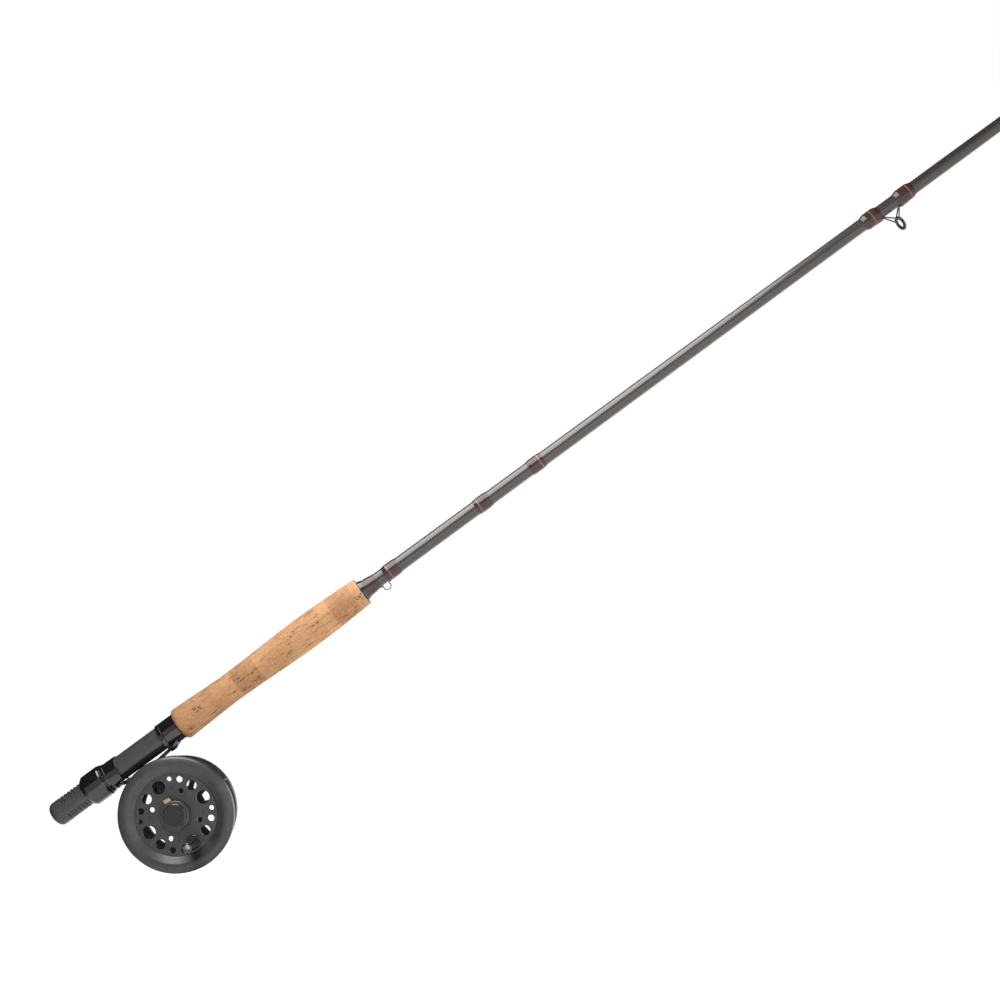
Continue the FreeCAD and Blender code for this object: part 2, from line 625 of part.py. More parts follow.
def tip_top():
    """Tube over the blank's tip with a wire ring on two braces."""
    x0 = ROD_LENGTH - TIPTOP_TUBE_LENGTH
    r0 = blank_radius(x0)
    tube = turned_x([(x0, r0), (x0, r0 + TIPTOP_TUBE_WALL, 0.1), (ROD_LENGTH, TIP_R + TIPTOP_TUBE_WALL, 0.1),
                     (ROD_LENGTH, TIP_R)])
    outer = TIP_R + TIPTOP_TUBE_WALL
    ring_centre = V(ROD_LENGTH - 0.6, 0, -outer - TIPTOP_RING_R + 0.5)
    ring = Part.makeTorus(TIPTOP_RING_R, TIPTOP_WIRE_R, ring_centre, V(1, 0, -0.35))
    pieces = [tube, ring]
    for hand in (-1, 1):
        side_of_ring = V(ring_centre.x - 0.4, hand * TIPTOP_RING_R, ring_centre.z)
        pieces.append(wire_rod([(V(x0 + 1.5, 0, -outer), 0), (side_of_ring, 0)], 0.4))
    core = turned_x([(x0 - 1, 0), (x0 - 1, blank_radius(x0 - 1)), (ROD_LENGTH, TIP_R), (ROD_LENGTH, 0)])
    return joined(pieces).cut(core)


# ============================================================================= the reel
def placed_on_spool(shape, degrees):
    """Turn a shape made along +X about the spindle and move it to the reel."""
    shape.rotate(V(0, 0, 0), Y_AXIS, -degrees)
    shape.translate(V(REEL_X, 0, REEL_Z))
    return shape


def windows(y0, y1, spec):
    """Ring of windows with rounded corners, between straight spokes."""
    inner_r, outer_r, count, spoke_deg, spoke_width = spec
    ring = cylinder_y(outer_r, y0, y1).cut(cylinder_y(inner_r, y0, y1))
    for i in range(count):
        spoke = box(0, outer_r + 1, y0 - 1, y1 + 1, -spoke_width / 2, spoke_width / 2)
        ring = ring.cut(placed_on_spool(spoke, spoke_deg + 360 * i / count))
    corners = [edge for edge in ring.Edges if abs(edge.tangentAt(edge.FirstParameter).y) > 0.99]
    return ring.makeFillet(WINDOW_CORNER_R, corners)


def pattern_holes(y0, y1):
    """Cutters for the disc's four-fold hole pattern; the handle takes one large hole's place."""
    cutters = []
    for quarter in range(4):
        start = PATTERN_START_DEG - 90 * quarter
        holes = list(PATTERN)
        if quarter != HANDLE_QUARTER:
            holes.append(LARGE_HOLE)
        for degrees, circle_r, hole_r in holes:
            x, z = polar(circle_r, start + degrees)
            cutters.append(cylinder_y(hole_r, y0, y1, x, z))
    return cutters


def front_flange():
    """Perforated disc with the dished palming rim and the latch housing."""
    back_y = DISC_Y + DISC_THICK
    skirt_r = RIM_R - RIM_SKIRT_WALL
    profile = [(DISC_Y, 0), (DISC_Y, DISC_R), (DISC_Y - 0.5, DISC_R + 0.35), (DISH_Y, DISC_R + 1.2, 0.6),
               (RIM_CREST_Y + 0.5, DISC_R + 1.2 + DISH_SLOPE, 4.0), (RIM_CREST_Y, RIM_R - RIM_BROW, 7.0),
               (RIM_CREST_Y + 1.4, RIM_R, RIM_CORNER_R), (RIM_SKIRT_Y, RIM_R),
               (RIM_SKIRT_Y, skirt_r), (back_y, skirt_r), (back_y, 0)]
    flange = turned_y(profile)
    boss_y = DISC_Y - BOSS_HEIGHT
    boss = turned_y([(DISC_Y + 0.1, 0), (DISC_Y + 0.1, BOSS_R), (boss_y, BOSS_R, 1.0), (boss_y, 0)])
    flange = flange.fuse(boss)
    cavity = cylinder_y(HUB_CAVITY_R, boss_y + CAP_SEAT_DEPTH, DISC_Y - 0.9)
    cap_seat = cylinder_y(CAP_R, boss_y - 1, boss_y + CAP_SEAT_DEPTH)
    bore = cylinder_y(BUSH_R, DISC_Y - 5, back_y + 1)
    flange = flange.cut(cavity).cut(cap_seat).cut(bore)
    for cutter in pattern_holes(DISC_Y - 1, back_y + 1):
        flange = flange.cut(cutter)
    for quarter in range(4):
        x, z = polar(DIMPLE[1], PATTERN_START_DEG - 90 * quarter + DIMPLE[0])
        flange = flange.cut(cylinder_y(DIMPLE[2], DISC_Y - 1, DISC_Y + 0.5, x, z))
    x, z = polar(HANDLE_CIRCLE_R, HANDLE_DEG)
    flange = flange.cut(cylinder_y(HANDLE_POST_R, DISC_Y - 1, back_y + 1, x, z))
    slot = box(0, LATCH_TIP_R + 3, LATCH_Y - 0.2, LATCH_Y + LATCH_THICK + 0.2,
               -LATCH_WIDTH / 2 - 0.2, LATCH_WIDTH / 2 + 0.2)
    return clean(flange.cut(placed_on_spool(slot, LATCH_DEG)))


def spool_arbor():
    """Drum between the flanges, hollow from behind, with a nose through the rear flange."""
    front = DISC_Y + DISC_THICK
    return turned_y([(front, BUSH_R), (front, ARBOR_R), (FLANGE_Y, ARBOR_R), (FLANGE_Y, ARBOR_R - ARBOR_WALL),
                     (front + 3, ARBOR_R - ARBOR_WALL), (front + 3, NOSE_R), (GEAR_Y, NOSE_R), (GEAR_Y, BUSH_R)])


def rear_flange():
    flange = cylinder_y(FLANGE_R, FLANGE_Y, FLANGE_Y + FLANGE_THICK)
    flange = flange.cut(cylinder_y(NOSE_R, FLANGE_Y - 1, FLANGE_Y + FLANGE_THICK + 1))
    return clean(flange.cut(windows(FLANGE_Y - 1, FLANGE_Y + FLANGE_THICK + 1, FLANGE_WINDOWS)))


def spool_bushings():
    front = DISC_Y - 0.9
    bushings = []
    for y0, y1 in ((front, front + 7), (FLANGE_Y - 5, GEAR_Y)):
        bushings.append(cylinder_y(BUSH_R, y0, y1).cut(cylinder_y(SPINDLE_R + RUN, y0 - 1, y1 + 1)))
    return bushings


def click_gear():
    outline = []
    for tooth in range(GEAR_TEETH):
        for share, radius in ((0.0, GEAR_R), (0.5, GEAR_R - GEAR_TOOTH)):
            outline.append(polar(radius, PAWL_DEG + 360 * (tooth + 0.5 + share) / GEAR_TEETH))
    return slab(outline, GEAR_Y, GEAR_THICK).cut(cylinder_y(SPINDLE_R + RUN, GEAR_Y - 1, GEAR_END_Y + 1))


def hub_cap():
    """Push-in cap with a ring groove on its face, hollow behind for the spindle's end."""
    seat_y = DISC_Y - BOSS_HEIGHT + CAP_SEAT_DEPTH
    face_y = seat_y - CAP_HEIGHT
    hollow_y, hollow_r = seat_y - 1.2, CAP_R - 1.4
    groove_r, groove_y = 0.62 * CAP_R, face_y + 0.35
    return turned_y([(hollow_y, 0), (hollow_y, hollow_r), (seat_y, hollow_r), (seat_y, CAP_R),
                     (face_y, CAP_R, 0.9), (face_y, groove_r + 0.5), (groove_y, groove_r + 0.5),
                     (groove_y, groove_r), (face_y, groove_r), (face_y, 0)])


def latch_plate():
    """Sprung plate whose keyhole edge sits in the spindle's groove; its tab is the button."""
    inner = -HUB_CAVITY_R + LATCH_TRAVEL + 0.4
    half = LATCH_WIDTH / 2
    plate = box(inner, LATCH_TIP_R, LATCH_Y, LATCH_Y + LATCH_THICK, -half, half)
    wide = cylinder_y(LATCH_HOLE_R + 1.7, LATCH_Y, LATCH_Y + LATCH_THICK, LATCH_TRAVEL, 0)
    plate = plate.fuse(wide)
    plate = plate.cut(cylinder_y(LATCH_HOLE_R, LATCH_Y - 1, LATCH_Y + 2, LATCH_TRAVEL, 0))
    for rib_x in (BOSS_R + LATCH_TRAVEL + 0.2, LATCH_TIP_R - LATCH_RIB):
        plate = plate.fuse(box(rib_x, rib_x + LATCH_RIB, LATCH_Y - 0.9, LATCH_Y + 0.1, -half, half))
    return placed_on_spool(clean(plate), LATCH_DEG)


def latch_spring():
    """Coil that pushes the plate out, between it and the housing's wall."""
    helix = Part.makeHelix(LATCH_TRAVEL / 3, LATCH_TRAVEL, 0.9)
    ring = Part.Wire(Part.makeCircle(0.12, V(0.9, 0, 0), Y_AXIS))
    coil = Part.Wire(helix.Edges).makePipeShell([ring], True, True)
    coil.rotate(V(0, 0, 0), Y_AXIS, 90)
    coil.translate(V(0.3 - HUB_CAVITY_R, LATCH_Y + LATCH_THICK / 2, 0))
    return placed_on_spool(coil, LATCH_DEG)


def handle_post():
    """Shoulder screw: shank through the knob, head in its counterbore."""
    x, z = polar(HANDLE_CIRCLE_R, HANDLE_DEG)
    shank_end = DISC_Y - HANDLE_COLLAR - HANDLE_LENGTH + HANDLE_HEAD_DEPTH
    shank = cylinder_y(HANDLE_POST_R, shank_end, DISC_Y + DISC_THICK, x, z)
    head = cylinder_y(HANDLE_HEAD_R, shank_end - 1.4, shank_end, x, z)
    slot = box(x - 3, x + 3, shank_end - 2, shank_end - 0.8, z - 0.35, z + 0.35)
    return shank.fuse(head).cut(slot)


def handle_collar():
    x, z = polar(HANDLE_CIRCLE_R, HANDLE_DEG)
    top = DISC_Y - HANDLE_COLLAR
    return turned_y([(DISC_Y, HANDLE_POST_R), (DISC_Y, HANDLE_COLLAR_R), (top, HANDLE_COLLAR_R, 0.5),
                     (top, HANDLE_POST_R)], x, z)


def handle_knob():
    x, z = polar(HANDLE_CIRCLE_R, HANDLE_DEG)
    base = DISC_Y - HANDLE_COLLAR - 0.15
    tip = base - HANDLE_LENGTH
    bore = HANDLE_POST_R + RUN
    counter = HANDLE_HEAD_R + 0.2
    floor = DISC_Y - HANDLE_COLLAR - HANDLE_LENGTH + HANDLE_HEAD_DEPTH + 0.1
    return turned_y([(base, bore), (base, HANDLE_BASE_R, 0.8), (base - 5, HANDLE_BASE_R - 0.25, 6.0),
                     (base - 14, HANDLE_TIP_R + 0.3, 12.0), (tip + 1.6, HANDLE_TIP_R - 0.1, 3.0),
                     (tip, HANDLE_TIP_R + 0.2, 0.7), (tip, counter, 0.3), (floor, counter), (floor, bore)], x, z)


def frame_plate():
    """Back plate with a forward lip and a boss for the spindle."""
    outer_y = PLATE_Y + PLATE_THICK
    lip_y = PLATE_Y - PLATE_LIP
    plate = turned_y([(PLATE_Y, 0), (PLATE_Y, FRAME_R - PLATE_LIP_WALL), (lip_y, FRAME_R - PLATE_LIP_WALL),
                      (lip_y, FRAME_R), (outer_y, FRAME_R, 1.2), (outer_y, 10.5, 0.3),
                      (outer_y + PLATE_BOSS, 9.0, 0.8), (outer_y + PLATE_BOSS, 0)])
    plate = plate.cut(cylinder_y(SPINDLE_SEAT_R, PLATE_Y - 1, outer_y + PLATE_BOSS + 1))
    x, z = polar(KNOB_CIRCLE_R, KNOB_DEG)
    plate = plate.cut(cylinder_y(KNOB_SHAFT_R + RUN, PLATE_Y - 1, outer_y + 1, x, z))
    land = cylinder_y(KNOB_R + KNOB_LAND, PLATE_Y - 2, outer_y + 2, x, z)
    plate = plate.cut(windows(PLATE_Y - 1, outer_y + 1, PLATE_WINDOWS).cut(land))
    return clean(plate)


def frame_ring():
    end = FRAME_RING_Y + FRAME_RING_WIDTH
    ring = turned_y([(FRAME_RING_Y, FRAME_RING_INNER_R), (FRAME_RING_Y, FRAME_RING_OUTER_R, 0.4),
                     (end, FRAME_RING_OUTER_R, 0.4), (end, FRAME_RING_INNER_R)])
    above = box(REEL_X - 60, REEL_X + 60, FRAME_RING_Y - 1, end + 1, BRIDGE_TOP_Z, 0)
    return ring.cut(above)


def frame_pillars():
    """Pillars from the ring to the plate's lip, waisted between their ends."""
    y0, y1 = FRAME_RING_Y + FRAME_RING_WIDTH, PLATE_Y - PLATE_LIP
    waist_r = PILLAR_R * PILLAR_WAIST
    profile = [(y0, 0), (y0, PILLAR_R), (y0 + 1, PILLAR_R), (y0 + 2, waist_r),
               (y1 - 2, waist_r), (y1 - 1, PILLAR_R), (y1, PILLAR_R), (y1, 0)]
    return [turned_y(profile, *polar(PILLAR_CIRCLE_R, degrees)) for degrees in PILLAR_DEGREES]


def foot_bridge():
    """Cross bar of the frame, with a pad shaped to the foot."""
    y0, y1 = FRAME_RING_Y + FRAME_RING_WIDTH, PLATE_Y - PLATE_LIP
    rim = turned_y([(y0, FRAME_RING_INNER_R), (y0, FRAME_R), (y1, FRAME_R), (y1, FRAME_RING_INNER_R)])
    half = BRIDGE_HALF_WIDTH
    rim = rim.common(box(REEL_X - half, REEL_X + half, y0, y1, REEL_Z, BRIDGE_TOP_Z))
    pad = box(REEL_X - FOOT_SADDLE_HALF + 1, REEL_X + FOOT_SADDLE_HALF - 1,
              -BRIDGE_PAD_HALF_Y, BRIDGE_PAD_HALF_Y, REEL_Z + FRAME_RING_INNER_R + 1.5, -SEAT_R)
    pad = pad.cut(cylinder_y(FRAME_RING_INNER_R, y0 - 1, y1 + 1))
    return clean(rim.fuse(pad).cut(cylinder_x(-BRIDGE_TOP_Z, 0, 2 * REEL_X)))


def foot():
    """Stamped foot, curved across like the seat: saddle in the middle, a toe at each end."""
    saddle_r = -BRIDGE_TOP_Z
    toe_r = TOE_OUTER_R - 0.15
    rear_tip, front_tip = HOOD_START_X + 4.0, STRAP_FLAT_END_X - 0.2
    inner = [(rear_tip, toe_r - 1.0), (HOOD_MOUTH_X + 1, toe_r), (REEL_X - FOOT_SADDLE_HALF, saddle_r),
             (REEL_X + FOOT_SADDLE_HALF, saddle_r), (FIXED_MOUTH_X - 1, toe_r - 0.2), (front_tip, toe_r - 1.0)]
    outer = [(V(x, 0, -r), 0 if i in (0, 5) else 3.0) for i, (x, r) in enumerate(inner)]
    inside = [(p + V(0, 0, FOOT_THICK), r) for p, r in outer]
    edges = rounded_wire(outer, closed=False).Edges + rounded_wire(inside, closed=False).Edges
    for i in (0, -1):
        edges.append(Part.LineSegment(outer[i][0], inside[i][0]).toShape())
    section = Part.Face(Part.Wire(Part.__sortEdges__(edges)))
    section.rotate(V(0, 0, 0), X_AXIS, -FOOT_HALF_DEG)
    plate = section.revolve(V(0, 0, 0), X_AXIS, 2 * FOOT_HALF_DEG)
    deep = 2 * SEAT_R
    half_y = saddle_r * math.sin(math.radians(FOOT_HALF_DEG)) + 1
    corners = ((rear_tip, -half_y), (front_tip, -half_y), (front_tip, half_y), (rear_tip, half_y))
    outline = rounded_wire([(V(x, y, -deep), TOE_CORNER_R) for x, y in corners])
    return plate.common(Part.Face(outline).extrude(V(0, 0, deep)))


def foot_screws():
    """Countersunk rivets through the foot into the bridge."""
    screws = []
    top = BRIDGE_TOP_Z + FOOT_THICK
    for x in FOOT_SCREW_XS:
        head = Part.makeCone(RIVET_R, RIVET_HEAD_R, 1.0, V(x, 0, top - 1.15), Z_AXIS)
        shank = Part.makeCylinder(RIVET_R, 2.4, V(x, 0, BRIDGE_TOP_Z - 1.4), Z_AXIS)
        screws.append(head.fuse(shank))
    return screws


def spindle():
    """Fixed axle: latch groove at the front, collar against the plate, tail for the nut."""
    boss_y = PLATE_Y + PLATE_THICK + PLATE_BOSS
    tail_y = boss_y + SPINDLE_NUT_THICK + 0.6
    groove_end = SPINDLE_GROOVE_Y + SPINDLE_GROOVE_WIDTH
    collar_y = GEAR_END_Y + 0.2
    return turned_y([(SPINDLE_FRONT_Y, 0), (SPINDLE_FRONT_Y, SPINDLE_R, 0.5),
                     (SPINDLE_GROOVE_Y, SPINDLE_R), (SPINDLE_GROOVE_Y, SPINDLE_GROOVE_R),
                     (groove_end, SPINDLE_GROOVE_R), (groove_end, SPINDLE_R), (collar_y, SPINDLE_R),
                     (collar_y, SPINDLE_COLLAR_R), (PLATE_Y, SPINDLE_COLLAR_R), (PLATE_Y, SPINDLE_SEAT_R),
                     (boss_y, SPINDLE_SEAT_R), (boss_y, SPINDLE_TAIL_R), (tail_y, SPINDLE_TAIL_R, 0.4),
                     (tail_y, 0)])


def spindle_nut():
    y0 = PLATE_Y + PLATE_THICK + PLATE_BOSS
    nut = slab([polar(SPINDLE_NUT_R, degrees) for degrees in range(0, 360, 60)], y0, SPINDLE_NUT_THICK)
    return nut.cut(cylinder_y(SPINDLE_TAIL_R, y0 - 1, y0 + SPINDLE_NUT_THICK + 1))


def click_pawl():
    """Sprung lever: one pointed tooth rests in the gear, the other end turns on its post."""
    pivot_x, pivot_z = polar(PAWL_PIVOT_R, PAWL_DEG + PAWL_ARM_DEG)
    tip = polar(GEAR_R - GEAR_TOOTH + 0.35, PAWL_DEG)
    back = polar(GEAR_R + 3.6, PAWL_DEG - 4)
    root_near = polar(GEAR_R + 1.5, PAWL_DEG + 7)
    root_far = polar(GEAR_R + 1.5, PAWL_DEG - 5)
    arm = slab([(pivot_x - 0.9, pivot_z + 1.3), back, root_far, root_near, (pivot_x + 0.4, pivot_z - 1.5)],
               PAWL_Y, PAWL_THICK)
    tooth = slab([tip, root_near, root_far], PAWL_Y, PAWL_THICK)
    eye = cylinder_y(2 * PAWL_POST_R, PAWL_Y, PAWL_Y + PAWL_THICK, pivot_x, pivot_z)
    bore = cylinder_y(PAWL_POST_R + RUN, PAWL_Y - 1, PAWL_Y + PAWL_THICK + 1, pivot_x, pivot_z)
    return clean(arm.fuse(tooth).fuse(eye)).cut(bore)


def pawl_post():
    """Post with a shoulder behind the pawl."""
    x, z = polar(PAWL_PIVOT_R, PAWL_DEG + PAWL_ARM_DEG)
    shoulder = cylinder_y(PAWL_POST_R + 0.7, PAWL_Y + PAWL_THICK + 0.2, PLATE_Y, x, z)
    return cylinder_y(PAWL_POST_R, PAWL_Y, PLATE_Y, x, z).fuse(shoulder)


def click_spring():
    """Leaf spring from a block on the plate to the pawl's back."""
    x0, z0 = polar(*SPRING_END)
    x1, z1 = polar(*SPRING_ANCHOR)
    blade = slab([(x0, z0), (x1, z1), (x1, z1 + SPRING_THICK), (x0, z0 + SPRING_THICK)], SPRING_Y, SPRING_WIDTH)
    block = cylinder_y(SPRING_BLOCK_R, SPRING_Y, PLATE_Y, x1 + 1.0, z1)
    return clean(blade.fuse(block))


def click_knob():
    """Adjuster outside the plate with its shaft and eccentric cam inside."""
    x, z = polar(KNOB_CIRCLE_R, KNOB_DEG)
    outer_y = PLATE_Y + PLATE_THICK + 0.15
    knob = turned_y([(outer_y, 0), (outer_y, KNOB_R - 0.6, 0.4), (outer_y + 2, KNOB_R, 0.6),
                     (outer_y + KNOB_HEIGHT, KNOB_R - 0.8, 1.0), (outer_y + KNOB_HEIGHT, 0)], x, z)
    for i in range(KNOB_FLUTES):
        turn = math.radians(360 * i / KNOB_FLUTES)
        knob = knob.cut(cylinder_y(0.8, outer_y - 1, outer_y + KNOB_HEIGHT + 1,
                                   x + KNOB_R * math.cos(turn), z + KNOB_R * math.sin(turn)))
    shaft = cylinder_y(KNOB_SHAFT_R, PLATE_Y - 2.2, outer_y + 0.5, x, z)
    cam = cylinder_y(CAM_R, PLATE_Y - 2.2, PLATE_Y - 0.4, x + CAM_OFFSET, z)
    return clean(knob.fuse(shaft).fuse(cam))


# ============================================================================ the build
os.makedirs("parts", exist_ok=True)

BANDED = {"keeper_wrap": KEEPER_WRAP, "lower_wrap": LOWER_WRAP, "upper_wrap": UPPER_WRAP}
butt_bands = []
for node, spec in BANDED.items():
    body, band = banded_wrap(spec)
    butt_bands.append(band)
    export(node, body if node != "keeper_wrap" else body.cut(hook_keeper()))
guide_wraps = []
for spec in (GUIDE_LOWER_WRAP, GUIDE_UPPER_WRAP):
    body, band = banded_wrap(spec, GUIDE_WRAP_RISE)
    guide_wraps.append(body.cut(guide_frame()))
    butt_bands.append(band.cut(guide_frame()))
export("stripping_guide_wraps", guide_wraps)
export("trim_bands", butt_bands)
export("hosel_wrap", hosel_wrap().cut(hook_keeper()))
export("hook_keeper", hook_keeper())
export("butt_blank", butt_blank())
export("tip_blank", tip_blank())
export("winding_check", winding_check())
export("cork_grip", cork_rings())
export("butt_cap", butt_cap())
export("reel_seat_barrel", seat_barrel())
export("seat_arbors", seat_arbors())
export("sliding_hood", sliding_hood())
export("hood_washer", hood_washer())
export("lock_nut", lock_nut())
export("fixed_hood", fixed_hood())
export("stripping_guide_frame", guide_frame())
export("stripping_guide_ring", guide_liner())
tip_wraps = [wrap(FERRULE_X, FERRULE_X + FERRULE_WRAP_LENGTH)]
for number, (x, rise) in enumerate(zip(SNAKE_XS, SNAKE_RISE), start=1):
    guide = snake_guide(x, rise)
    export("snake_guide_%d" % number, guide)
    wraps = [piece.cut(guide) for piece in snake_wraps(x)]
    if x < FERRULE_X:
        export("snake_guide_wraps", wraps)
    else:
        tip_wraps.extend(wraps)
tip_end_wrap_x = ROD_LENGTH - TIPTOP_TUBE_LENGTH
tip_wraps.append(wrap(tip_end_wrap_x - TIP_END_WRAP_LENGTH, tip_end_wrap_x, 0.35))
export("tip_section_wraps", tip_wraps)
export("tip_top", tip_top())
export("front_flange", front_flange())
export("spool_arbor", spool_arbor())
export("rear_flange", rear_flange())
export("spool_bushings", spool_bushings())
export("click_gear", click_gear())
export("hub_cap", hub_cap())
export("latch_plate", latch_plate())
export("latch_spring", latch_spring())
export("handle_post", handle_post())
export("handle_collar", handle_collar())
export("handle_knob", handle_knob())
export("frame_plate", frame_plate())
export("frame_ring", frame_ring())
export("frame_pillars", frame_pillars())
export("foot_bridge", foot_bridge().cut(Part.makeCompound(foot_screws())))
export("reel_foot", foot().cut(Part.makeCompound(foot_screws())))
export("foot_screws", foot_screws())
export("spindle", spindle())
export("spindle_nut", spindle_nut())
export("click_pawl", click_pawl())
export("pawl_post", pawl_post())
export("click_spring", click_spring())
export("click_knob", click_knob())
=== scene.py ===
"""A fly rod and reel, level in a white studio: looks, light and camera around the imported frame."""
import math

import bpy
import numpy as np
from mathutils import Matrix, Vector


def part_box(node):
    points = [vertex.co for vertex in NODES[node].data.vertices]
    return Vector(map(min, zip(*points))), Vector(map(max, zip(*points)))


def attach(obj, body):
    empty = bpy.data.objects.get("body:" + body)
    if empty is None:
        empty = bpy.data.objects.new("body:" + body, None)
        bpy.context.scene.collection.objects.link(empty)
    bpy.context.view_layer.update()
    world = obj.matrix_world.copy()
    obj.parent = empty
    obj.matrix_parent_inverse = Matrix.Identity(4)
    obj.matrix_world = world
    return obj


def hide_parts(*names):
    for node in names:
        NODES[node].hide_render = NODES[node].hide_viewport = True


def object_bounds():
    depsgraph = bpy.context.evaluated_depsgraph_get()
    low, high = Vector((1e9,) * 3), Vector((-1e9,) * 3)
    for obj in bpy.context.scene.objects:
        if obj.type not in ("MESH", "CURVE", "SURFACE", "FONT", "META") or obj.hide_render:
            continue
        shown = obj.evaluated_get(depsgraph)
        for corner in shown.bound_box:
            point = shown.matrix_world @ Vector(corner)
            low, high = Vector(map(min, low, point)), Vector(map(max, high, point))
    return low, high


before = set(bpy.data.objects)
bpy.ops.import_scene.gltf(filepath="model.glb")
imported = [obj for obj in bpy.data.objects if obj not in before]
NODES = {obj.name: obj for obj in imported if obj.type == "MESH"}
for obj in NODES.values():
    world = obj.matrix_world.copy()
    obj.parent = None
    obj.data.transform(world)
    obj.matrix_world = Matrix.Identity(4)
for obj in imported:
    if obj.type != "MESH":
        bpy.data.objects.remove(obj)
CAD_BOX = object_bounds()
MM = 0.001

# ---- the camera --------------------------------------------------------------------------
CAMERA_AIM = Vector((0.4050, 0.0, -0.0057))
CAMERA_DISTANCE = 1.293
CAMERA_ELEVATION = math.radians(-2.3)
CAMERA_ROLL = math.radians(36.23)
CAMERA_LENS_MM = 62.8
CAMERA_SENSOR_MM = 36.0

# ---- the studio --------------------------------------------------------------------------
FLOOR_DROP = 0.0006
FLOOR_HALF = 30.0
OVERHEAD_PLACE = (0.50, -0.38, 0.62)
OVERHEAD_AIM = (0.50, -0.38, 0.0)
OVERHEAD_SIZE = (0.62, 1.15)
OVERHEAD_POWER = 20.0
# (degrees about X, grey): 0 is the camera's side, 90 is above, -90 below, 180 behind
WORLD_STOPS = ((-180, 0.02), (-90, 0.3), (-8, 0.65), (33, 0.65),
               (37, 0.01), (96, 0.01), (102, 0.02), (180, 0.02))

# ---- the scale of each texture ---------------------------------------------------------------
MOTTLE_SCALE = 160.0
RUB_SCALE = 420.0
GRAIN_SCALE = 2600.0
LATHE_PITCH = 0.00045
TAPE_PITCH = 0.0016
TAPE_STARTS = 3.0
THREAD_PITCH = 0.00028


# ==== small helpers for node trees ==========================================================
class Nodes:
    """A material and short calls that add nodes to it."""

    def __init__(self, name):
        self.material = bpy.data.materials.new(name)
        self.material.use_nodes = True
        self.tree = self.material.node_tree
        self.shader = self.tree.nodes["Principled BSDF"]
        self.place = self.add("ShaderNodeTexCoord").outputs["Object"]

    def add(self, kind, **settings):
        node = self.tree.nodes.new(kind)
        for key, value in settings.items():
            setattr(node, key, value)
        return node

    def link(self, source, target):
        self.tree.links.new(source, target)

    def put(self, socket, value):
        """Links a socket, or sets a number on it."""
        if isinstance(value, bpy.types.NodeSocket):
            self.link(value, socket)
        else:
            socket.default_value = value

    def math(self, operation, a, b=0.0):
        node = self.add("ShaderNodeMath", operation=operation)
        self.put(node.inputs[0], a)
        self.put(node.inputs[1], b)
        return node.outputs[0]

    def set(self, **sockets):
        """Sets the shader's own sockets; underscores stand for spaces."""
        for key, value in sockets.items():
            self.put(self.shader.inputs[key.replace("_", " ")], value)

    def axes(self, vector=None):
        node = self.add("ShaderNodeSeparateXYZ")
        self.link(vector or self.place, node.inputs[0])
        return node.outputs

    def stretched(self, factors, offset=(0.0, 0.0, 0.0)):
        node = self.add("ShaderNodeMapping")
        self.link(self.place, node.inputs["Vector"])
        node.inputs["Scale"].default_value = factors
        node.inputs["Location"].default_value = offset
        return node.outputs[0]

    def noise(self, scale, detail=2.0, roughness=0.5, vector=None):
        node = self.add("ShaderNodeTexNoise")
        self.link(vector or self.place, node.inputs["Vector"])
        node.inputs["Scale"].default_value = scale
        node.inputs["Detail"].default_value = detail
        node.inputs["Roughness"].default_value = roughness
        return node.outputs["Fac"]

    def ramp(self, value, *stops):
        """A colour ramp; each stop is (position, colour or grey)."""
        node = self.add("ShaderNodeValToRGB")
        self.put(node.inputs[0], value)
        elements = node.color_ramp.elements
        while len(elements) < len(stops):
            elements.new(0.5)
        for element, (position, colour) in zip(elements, stops):
            element.position = position
            rgb = colour if isinstance(colour, tuple) else (colour,) * 3
            element.color = (*rgb, 1.0)
        return node.outputs["Color"]

    def mix(self, factor, a, b):
        node = self.add("ShaderNodeMix", data_type="RGBA")
        self.put(node.inputs[0], factor)
        for socket, colour in ((node.inputs[6], a), (node.inputs[7], b)):
            if isinstance(colour, tuple):
                colour = (*colour, 1.0)
            self.put(socket, colour)
        return node.outputs[2]

    def between(self, value, low, high):
        """Maps 0..1 to low..high."""
        node = self.add("ShaderNodeMapRange")
        self.put(node.inputs["Value"], value)
        node.inputs["To Min"].default_value = low
        node.inputs["To Max"].default_value = high
        return node.outputs["Result"]

    def bump(self, height, distance):
        node = self.add("ShaderNodeBump")
        self.link(height, node.inputs["Height"])
        node.inputs["Distance"].default_value = distance
        self.link(node.outputs["Normal"], self.shader.inputs["Normal"])


# ==== looks ===================================================================================
def shades(colour, low, high):
    """The colour darkened by low and lightened by high."""
    return tuple(c * low for c in colour), tuple(c * high for c in colour)


def moulded(name, colour, roughness, grain=0.000012, coat=0.0):
    """Plastic or anodised metal: mottled a little, with a fine grain and rubbed roughness."""
    n = Nodes(name)
    dark, light = shades(colour, 0.82, 1.18)
    n.set(Base_Color=n.ramp(n.noise(MOTTLE_SCALE, 4.0), (0.3, dark), (0.7, light)))
    n.set(Roughness=n.between(n.noise(RUB_SCALE, 3.0), roughness * 0.85, roughness * 1.2))
    n.set(Coat_Weight=coat)
    n.bump(n.noise(GRAIN_SCALE, 2.0), grain)
    return n


def gloss(name, colour, roughness=0.06):
    """Thick black lacquer with a little dust in it."""
    n = moulded(name, colour, roughness, grain=0.0000015, coat=0.4)
    n.shader.inputs["Coat Roughness"].default_value = 0.04
    return n


